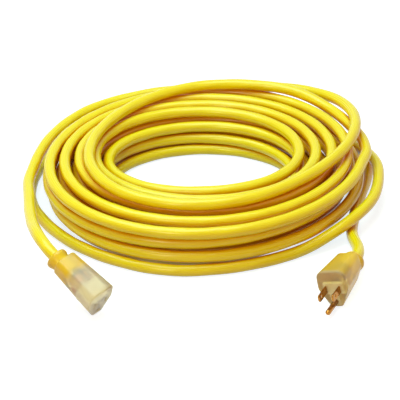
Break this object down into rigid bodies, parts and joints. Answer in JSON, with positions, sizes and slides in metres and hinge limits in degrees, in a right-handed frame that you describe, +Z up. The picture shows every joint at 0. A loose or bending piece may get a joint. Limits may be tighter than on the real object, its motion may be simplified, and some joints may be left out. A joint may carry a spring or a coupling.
{
  "type": "extension cord",
  "caption": "Yellow outdoor extension cord coiled on the ground; a grounded plug and a lighted connector moulded in clear plastic carry power from an outlet or generator to a tool.",
  "frame": {"origin": "middle of the whole cord's outline, on the surface that it lies on", "axes": "+Z up, -Y towards the side where the plug and the connector lie, +X towards the plug"},
  "size_m": [0.3482, 0.42, 0.0602],
  "materials": {
    "yellow_jacket": "smooth soft vinyl, slight sheen",
    "clear_moulding": "clear vinyl with a warm tint, soft gloss",
    "white_bridge": "plain moulded",
    "cream_insert": "plain moulded",
    "copper": "fine bare strands",
    "black_insulation": "smooth",
    "white_insulation": "smooth",
    "green_insulation": "smooth",
    "brass": "stamped and tumbled, light wear",
    "lamp_glass": "clear glass with a warm glow",
    "resistor_body": "dipped coating",
    "tinned_wire": "bare tinned wire"
  },
  "bodies": {
    "root": {"cord_coil": "yellow_jacket", "plug_tail": "yellow_jacket", "connector_tail": "yellow_jacket", "plug_overmold": "clear_moulding", "plug_bridge": "white_bridge", "plug_line_blade": "brass", "plug_neutral_blade": "brass", "plug_ground_pin": "brass", "plug_jacket_end": "yellow_jacket", "plug_black_wire": "black_insulation", "plug_white_wire": "white_insulation", "plug_green_wire": "green_insulation", "plug_black_copper": "copper", "plug_white_copper": "copper", "plug_green_copper": "copper", "connector_overmold": "clear_moulding", "connector_insert": "cream_insert", "line_contact": "brass", "neutral_contact": "brass", "ground_contact": "brass", "connector_jacket_end": "yellow_jacket", "connector_black_wire": "black_insulation", "connector_white_wire": "white_insulation", "connector_green_wire": "green_insulation", "connector_black_copper": "copper", "connector_white_copper": "copper", "connector_green_copper": "copper", "lamp_bulb": "lamp_glass", "lamp_resistor": "resistor_body", "lamp_leads": "tinned_wire"}
  },
  "joints": []
}
